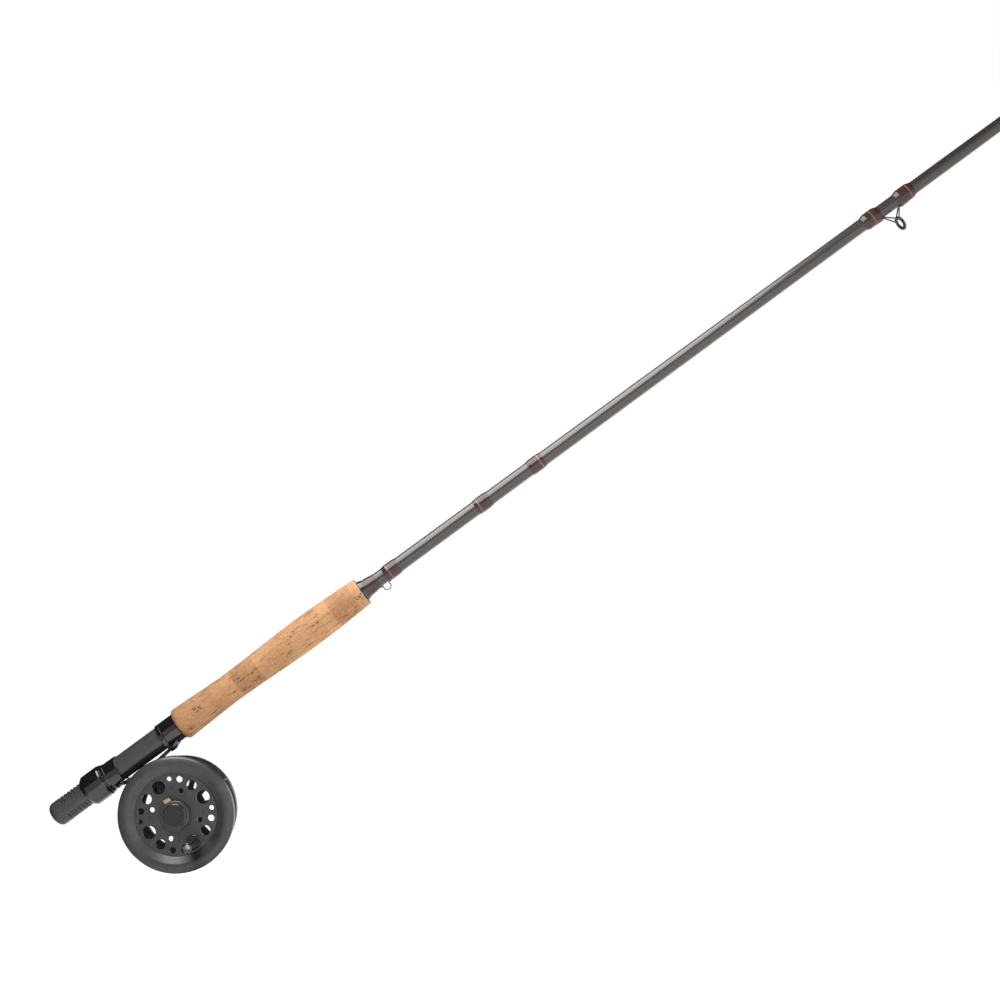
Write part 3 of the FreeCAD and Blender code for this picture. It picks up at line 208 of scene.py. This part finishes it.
def saddle_sizes():
    """Start and end along X of the barrel's sunk saddle, and its upper edge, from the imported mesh."""
    margin, washer_gap = 0.3 * MM, 1.0 * MM
    barrel_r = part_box("reel_seat_barrel")[1].z
    past_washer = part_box("hood_washer")[1].x + washer_gap
    points = [(v.co, math.hypot(v.co.y, v.co.z)) for v in NODES["reel_seat_barrel"].data.vertices]
    bore_r = min(r for place, r in points)
    sunk = [place for place, r in points
            if bore_r + margin < r < barrel_r - margin and place.x > past_washer]
    edge_z = max(place.z for place in sunk if place.z < 0)
    return min(place.x for place in sunk), max(place.x for place in sunk), edge_z


def seat_barrel():
    """Satin anodised barrel, with painted shade along the sunk saddle under the reel's foot: near-black
    there for the shade of the reel and its foot, and rougher.
    """
    n = Nodes("seat_satin")
    x, y, z = n.axes()
    start_x, end_x, edge_z = saddle_sizes()
    below = n.math("LESS_THAN", z, edge_z)
    along = n.math("MULTIPLY", n.math("GREATER_THAN", x, start_x), n.math("LESS_THAN", x, end_x))
    saddle_shade_mask = n.math("MULTIPLY", below, along)
    mottle = n.ramp(n.noise(MOTTLE_SCALE, 4.0),
                    (0.3, (0.025, 0.025, 0.026)), (0.7, (0.036, 0.036, 0.037)))
    # Painted shade: the saddle under the reel's foot is coloured near-black for the shade the reel and its
    # foot cast, and its roughness is raised there.
    n.set(Base_Color=n.mix(saddle_shade_mask, mottle, (0.003, 0.003, 0.003)))
    rubbed = n.between(n.noise(RUB_SCALE, 3.0), 0.31, 0.43)
    n.set(Roughness=n.math("ADD", rubbed, n.math("MULTIPLY", saddle_shade_mask, 0.5)))
    n.bump(n.noise(GRAIN_SCALE, 2.0), 0.000012)
    return n


def metal(name, colour, roughness, grain=0.000004):
    """Bare or plated metal with a fine grain."""
    n = Nodes(name)
    dark, light = shades(colour, 0.85, 1.1)
    n.set(Metallic=1.0)
    n.set(Base_Color=n.ramp(n.noise(500.0, 3.0), (0.3, dark), (0.7, light)))
    n.set(Roughness=n.between(n.noise(900.0, 2.0), roughness * 0.8, roughness * 1.25))
    n.bump(n.noise(3000.0, 2.0), grain)
    return n


def middle_of(node):
    """The middle of a node's box along X and Z."""
    low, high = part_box(node)
    return (low.x + high.x) / 2, (low.z + high.z) / 2


REEL_CENTRE = middle_of("front_flange")


def turned_about_y(n, centre, depth):
    """Fine rings left by the lathe on a face square to Y."""
    x, y, z = n.axes(n.stretched((1.0, 1.0, 1.0), (-centre[0], 0.0, -centre[1])))
    radius = n.math("POWER", n.math("ADD", n.math("MULTIPLY", x, x), n.math("MULTIPLY", z, z)), 0.5)
    wave = n.math("SINE", n.math("MULTIPLY", radius, 2 * math.pi / LATHE_PITCH))
    uneven = n.math("MULTIPLY", wave, n.noise(350.0, 1.0))
    n.bump(uneven, depth)


def reel_spool():
    n = moulded("spool_anodised", (0.026, 0.026, 0.0265), 0.31)
    turned_about_y(n, REEL_CENTRE, 0.0000035)
    return n


def reel_frame():
    n = moulded("frame_anodised", (0.03, 0.03, 0.0305), 0.36)
    turned_about_y(n, REEL_CENTRE, 0.000003)
    return n


def blank():
    """Graphite under a thin coat, with the faint crossing lines its wound tape leaves."""
    n = Nodes("graphite_blank")
    x, y, z = n.axes()
    around = n.math("ARCTAN2", z, y)
    lines = []
    for hand in (1.0, -1.0):
        along = n.math("MULTIPLY", x, 2 * math.pi / TAPE_PITCH)
        across = n.math("MULTIPLY", around, TAPE_STARTS * hand)
        lines.append(n.math("SINE", n.math("ADD", along, across)))
    hatch = n.math("MULTIPLY", lines[0], lines[1])
    fibres = n.noise(1500.0, 3.0, vector=n.stretched((0.35, 1.0, 1.0)))
    tone = n.math("ADD", n.math("MULTIPLY", hatch, 0.18), fibres)
    n.set(Base_Color=n.ramp(tone, (0.3, (0.022, 0.018, 0.016)), (0.75, (0.044, 0.037, 0.033))))
    n.set(Metallic=0.3, Roughness=n.between(fibres, 0.26, 0.34), Coat_Weight=0.25, Coat_Roughness=0.08)
    n.bump(hatch, 0.0000008)
    return n


def thread_wrap(name, colour, light, metallic=0.0):
    """Turns of thread side by side under a thick clear finish."""
    n = Nodes(name)
    x, y, z = n.axes()
    turns = n.math("SINE", n.math("MULTIPLY", x, 2 * math.pi / THREAD_PITCH))
    tone = n.math("ADD", n.math("MULTIPLY", turns, 0.25), n.noise(700.0, 3.0))
    n.set(Base_Color=n.ramp(tone, (0.25, colour), (0.85, light)))
    n.set(Roughness=0.6, Metallic=metallic, Coat_Weight=0.6, Coat_Roughness=0.04)
    n.shader.inputs["Specular IOR Level"].default_value = 0.15
    n.bump(turns, 0.000008)
    return n


def cork():
    """Sanded cork: fine cells, a tone for each ring, and dark brown in the pores."""
    n = Nodes("cork")
    pores = n.add("ShaderNodeAttribute", attribute_name="pore").outputs["Fac"]
    ring = n.add("ShaderNodeAttribute", attribute_name="ring_tone").outputs["Fac"]
    broad = n.noise(45.0, 4.0)
    cells = n.noise(1300.0, 4.0, 0.65, vector=n.stretched((0.45, 1.0, 1.0)))
    cracks = n.noise(420.0, 5.0, 0.7, vector=n.stretched((0.25, 1.0, 1.0), (0.3, 0.1, 0.2)))
    tone = n.math("ADD", n.math("MULTIPLY", broad, 0.35), n.math("MULTIPLY", cells, 0.5))
    tone = n.math("ADD", tone, n.math("MULTIPLY", ring, 0.32))
    flesh = n.ramp(tone, (0.36, (0.17, 0.070, 0.026)), (0.55, (0.30, 0.145, 0.056)),
                   (0.74, (0.40, 0.215, 0.096)))
    flecks = n.ramp(cracks, (0.53, 0.0), (0.66, 0.8))
    flecked = n.mix(flecks, flesh, (0.13, 0.05, 0.02))
    n.set(Base_Color=n.mix(pores, flecked, (0.045, 0.017, 0.008)))
    n.set(Roughness=n.between(cells, 0.62, 0.85))
    n.bump(cells, 0.00008)
    return n


LOOKS = {
    "seat_satin": seat_barrel,
    "hood_gloss": lambda: gloss("hood_gloss", (0.006, 0.006, 0.0065)),
    "arbor": lambda: moulded("arbor_fibre", (0.35, 0.3, 0.22), 0.8, grain=0.00004),
    "steel": lambda: metal("steel", (0.5, 0.5, 0.5), 0.28),
    "cork": cork,
    "check": lambda: moulded("check_gloss", (0.012, 0.012, 0.012), 0.1, grain=0.000002),
    "blank": blank,
    "wrap_thread": lambda: thread_wrap("burgundy_thread", (0.010, 0.003, 0.003), (0.045, 0.014, 0.012)),
    "trim_thread": lambda: thread_wrap("copper_thread", (0.12, 0.052, 0.024), (0.27, 0.135, 0.07),
                                       metallic=0.3),
    "keeper_wire": lambda: metal("keeper_wire", (0.16, 0.16, 0.16), 0.4),
    "guide_black": lambda: moulded("guide_black", (0.014, 0.014, 0.014), 0.25),
    "guide_ring": lambda: moulded("guide_ring", (0.03, 0.03, 0.032), 0.12),
    "guide_chrome": lambda: metal("guide_chrome", (0.7, 0.7, 0.7), 0.1),
    "reel_frame": reel_frame,
    "reel_spool": reel_spool,
    "hub_gloss": lambda: gloss("hub_gloss", (0.008, 0.008, 0.008), 0.12),
    "brass": lambda: metal("brass", (0.5, 0.42, 0.26), 0.3),
    "knob": lambda: gloss("knob_gloss", (0.01, 0.01, 0.01), 0.1),
}
LOOKS_MADE = {}


def paint():
    """Gives every node the look of its material slot."""
    LOOKS_MADE.update((name, look().material) for name, look in LOOKS.items())
    for node in NODES.values():
        for i, old in enumerate(node.data.materials):
            node.data.materials[i] = LOOKS_MADE[old.name.split(".")[0]]


# ==== the cork grip ===========================================================================
CORK_STEP = 0.36 * MM
CORK_AROUND = 210
SEAM_DEPTH = 0.06 * MM
SEAM_HALF_WIDTH = 0.3 * MM
PORE_HALF_WIDTH = 0.55 * MM
PORE_THINNEST = 0.12 * MM
PORE_WANDER = 0.35 * MM
PORE_END = 0.5 * MM
PORE_DEPTH = 0.3 * MM
CORK_SEED = 7


def cork_sizes():
    """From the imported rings: the outer radius at points along X, the ends of the rings, and the bore."""
    mesh = NODES["cork_grip"].data
    points = [(round(v.co.x, 5), math.hypot(v.co.y, v.co.z)) for v in mesh.vertices]
    bore = min(r for x, r in points)
    widest = {}
    for x, r in points:
        if r > 1.3 * bore:
            widest[x] = max(widest.get(x, 0.0), r)
    edges = sorted({round(face.center.x, 4) for face in mesh.polygons if abs(face.normal.x) > 0.999})
    return sorted(widest.items()), edges, bore


def new_object(name, vertices, faces, material):
    """A smooth-shaded mesh object in the scene."""
    mesh = bpy.data.meshes.new(name)
    mesh.from_pydata([tuple(v) for v in vertices], [], faces)
    mesh.materials.append(material)
    mesh.shade_smooth()
    obj = bpy.data.objects.new(name, mesh)
    bpy.context.scene.collection.objects.link(obj)
    return obj


def dash(x, around, start, end, angle, radius, half_width, rng):
    """How far each point is inside one long pore: 1 along its middle, 0 outside."""
    along = np.clip((x - start) / (end - start), 0.0, 1.0)
    ends = np.minimum(x - start, end - x)
    wander = PORE_WANDER * np.sin(along * rng.uniform(3, 7) + rng.uniform(0, 6))
    thick = half_width * (0.55 + 0.45 * np.sin(along * rng.uniform(9, 19) + rng.uniform(0, 6)))
    across = np.abs((np.mod(around - angle + math.pi, 2 * math.pi) - math.pi) * radius - wander)
    inside = np.clip(1.0 - across / np.maximum(thick, PORE_THINNEST), 0.0, 1.0)
    return inside * np.clip(ends / PORE_END, 0.0, 1.0)


def cork_grip():
    """The grip with its seams, pores and sanded skin modelled, in place of the plain rings."""
    outline, edges, inner_r = cork_sizes()
    lowest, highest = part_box("cork_grip")
    xs = np.arange(lowest.x, highest.x, CORK_STEP)
    xs = np.append(xs, highest.x)
    skin = np.interp(xs, [x for x, r in outline], [r for x, r in outline])
    angles = np.arange(CORK_AROUND) * 2 * math.pi / CORK_AROUND
    x, around = np.meshgrid(xs, angles, indexing="ij")
    radius = np.repeat(skin[:, None], CORK_AROUND, axis=1)
    rng = np.random.default_rng(CORK_SEED)
    pore = np.zeros_like(x)
    ring_count = len(edges) - 1
    for x0, x1 in zip(edges, edges[1:]):
        for _ in range(int(rng.integers(1, 9))):
            start = x0 + rng.uniform(0.0, 0.25) * (x1 - x0)
            end = x1 - rng.uniform(0.0, 0.35) * (x1 - x0)
            depth = rng.uniform(0.45, 1.0)
            angle = rng.uniform(0, 2 * math.pi)
            width = PORE_HALF_WIDTH * 1.3
            pore = np.maximum(pore, depth * dash(x, around, start, end, angle, radius, width, rng))
        for _ in range(int(rng.integers(9, 16))):
            start = x0 + rng.uniform(0.0, 0.7) * (x1 - x0)
            end = min(start + rng.uniform(0.1, 0.5) * (x1 - x0), x1)
            depth = rng.uniform(0.3, 0.9)
            angle = rng.uniform(0, 2 * math.pi)
            width = PORE_HALF_WIDTH * rng.uniform(0.5, 1.0)
            pore = np.maximum(pore, depth * dash(x, around, start, end, angle, radius, width, rng))
    ring_of = np.clip(np.searchsorted(edges, xs, side="right") - 1, 0, ring_count - 1)
    tone = rng.uniform(0.3, 0.85, ring_count)[ring_of]
    seam = np.zeros_like(xs)
    for edge in edges[1:-1]:
        seam = np.maximum(seam, np.clip(1.0 - np.abs(xs - edge) / SEAM_HALF_WIDTH, 0.0, 1.0))
    grain = rng.uniform(-0.02, 0.012, x.shape) * MM
    radius = radius - PORE_DEPTH * pore - SEAM_DEPTH * seam[:, None] + grain
    radius = np.minimum(radius, skin[:, None])
    y, z = radius * np.cos(around), radius * np.sin(around)
    vertices = np.stack([x, y, z], axis=-1).reshape(-1, 3)
    rows, columns = len(xs), CORK_AROUND
    faces = []
    for i in range(rows - 1):
        for j in range(columns):
            k = (j + 1) % columns
            here, beyond = i * columns, (i + 1) * columns
            faces.append((here + j, beyond + j, beyond + k, here + k))
    vertices = vertices.tolist()
    for row, flip in ((0, False), (rows - 1, True)):
        first = len(vertices)
        vertices.extend((xs[row], inner_r * math.cos(a), inner_r * math.sin(a)) for a in angles)
        for j in range(columns):
            k = (j + 1) % columns
            face = (row * columns + j, row * columns + k, first + k, first + j)
            faces.append(face[::-1] if flip else face)
    grip = new_object("cork_grip_turned", vertices, faces, LOOKS_MADE["cork"])
    values = np.zeros(len(vertices), np.float32)
    values[:rows * columns] = np.clip(pore * 2.6 + 0.3 * seam[:, None], 0, 1).reshape(-1)
    grip.data.attributes.new("pore", "FLOAT", "POINT").data.foreach_set("value", values)
    values = np.full(len(vertices), 0.5, np.float32)
    values[:rows * columns] = np.repeat(tone, columns)
    grip.data.attributes.new("ring_tone", "FLOAT", "POINT").data.foreach_set("value", values)
    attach(grip, "rod_and_reel_frame")
    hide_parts("cork_grip")


# ==== studio ==================================================================================
def studio_world():
    """White behind the object; for reflections, a dark canopy over the front of the set."""
    world = bpy.data.worlds.new("studio")
    bpy.context.scene.world = world
    world.use_nodes = True
    tree = world.node_tree
    back = tree.nodes["Background"]
    coords = tree.nodes.new("ShaderNodeTexCoord")
    parts = tree.nodes.new("ShaderNodeSeparateXYZ")
    tree.links.new(coords.outputs["Generated"], parts.inputs[0])
    front = tree.nodes.new("ShaderNodeMath")
    front.operation = "MULTIPLY"
    front.inputs[1].default_value = -1.0
    tree.links.new(parts.outputs["Y"], front.inputs[0])
    angle = tree.nodes.new("ShaderNodeMath")
    angle.operation = "ARCTAN2"
    tree.links.new(parts.outputs["Z"], angle.inputs[0])
    tree.links.new(front.outputs[0], angle.inputs[1])
    turn = tree.nodes.new("ShaderNodeMapRange")
    turn.inputs["From Min"].default_value = -math.pi
    turn.inputs["From Max"].default_value = math.pi
    tree.links.new(angle.outputs[0], turn.inputs["Value"])
    ramp = tree.nodes.new("ShaderNodeValToRGB")
    tree.links.new(turn.outputs["Result"], ramp.inputs[0])
    elements = ramp.color_ramp.elements
    while len(elements) < len(WORLD_STOPS):
        elements.new(0.5)
    for element, (degrees, grey) in zip(elements, WORLD_STOPS):
        element.position = (degrees + 180) / 360
        element.color = (grey, grey, grey, 1.0)
    light_path = tree.nodes.new("ShaderNodeLightPath")
    mix = tree.nodes.new("ShaderNodeMix")
    mix.data_type = "RGBA"
    tree.links.new(light_path.outputs["Is Camera Ray"], mix.inputs[0])
    tree.links.new(ramp.outputs[0], mix.inputs[6])
    mix.inputs[7].default_value = (1.0, 1.0, 1.0, 1.0)
    tree.links.new(mix.outputs[2], back.inputs["Color"])


def floor():
    """A plain pale floor just under the reel."""
    low = CAD_BOX[0].z - FLOOR_DROP
    mesh = bpy.data.meshes.new("studio_floor")
    h = FLOOR_HALF
    mesh.from_pydata([(-h, -h, low), (h, -h, low), (h, h, low), (-h, h, low)], [], [(0, 1, 2, 3)])
    plane = bpy.data.objects.new("studio_floor", mesh)
    bpy.context.scene.collection.objects.link(plane)
    n = Nodes("floor_white")
    seen = n.add("ShaderNodeLightPath").outputs["Is Camera Ray"]
    n.set(Base_Color=(0.8, 0.8, 0.8, 1.0), Roughness=0.9, Emission_Color=(1.0, 1.0, 1.0, 1.0))
    n.set(Emission_Strength=n.between(seen, 0.3, 1.2))
    mesh.materials.append(n.material)


def area_light(name, place, aim, size, power):
    """A soft box that the camera doesn't see; size is (width, height) in metres."""
    lamp = bpy.data.lights.new(name, "AREA")
    lamp.shape = "RECTANGLE"
    lamp.size, lamp.size_y = size
    lamp.energy = power
    obj = bpy.data.objects.new(name, lamp)
    obj.location = place
    obj.rotation_euler = (Vector(aim) - Vector(place)).to_track_quat("-Z", "Y").to_euler()
    obj.visible_camera = False
    bpy.context.scene.collection.objects.link(obj)


def camera():
    """Sets the camera a little under the rod, rolled so that the rod climbs to the right."""
    e = CAMERA_ELEVATION
    forward = Vector((0.0, math.cos(e), -math.sin(e)))
    upright = Vector((0.0, math.sin(e), math.cos(e)))
    right = math.cos(CAMERA_ROLL) * Vector((1, 0, 0)) - math.sin(CAMERA_ROLL) * upright
    up = math.sin(CAMERA_ROLL) * Vector((1, 0, 0)) + math.cos(CAMERA_ROLL) * upright
    data = bpy.data.cameras.new("camera")
    data.lens = CAMERA_LENS_MM
    data.sensor_width = CAMERA_SENSOR_MM
    obj = bpy.data.objects.new("camera", data)
    turn = Matrix((right, up, -forward)).transposed().to_4x4()
    obj.matrix_world = Matrix.Translation(CAMERA_AIM - CAMERA_DISTANCE * forward) @ turn
    bpy.context.scene.collection.objects.link(obj)
    bpy.context.scene.camera = obj


def studio():
    """World, floor, light and camera."""
    bpy.context.scene.view_settings.view_transform = "Standard"
    studio_world()
    floor()
    area_light("overhead_box", OVERHEAD_PLACE, OVERHEAD_AIM, OVERHEAD_SIZE, OVERHEAD_POWER)
    camera()


paint()
cork_grip()
studio()
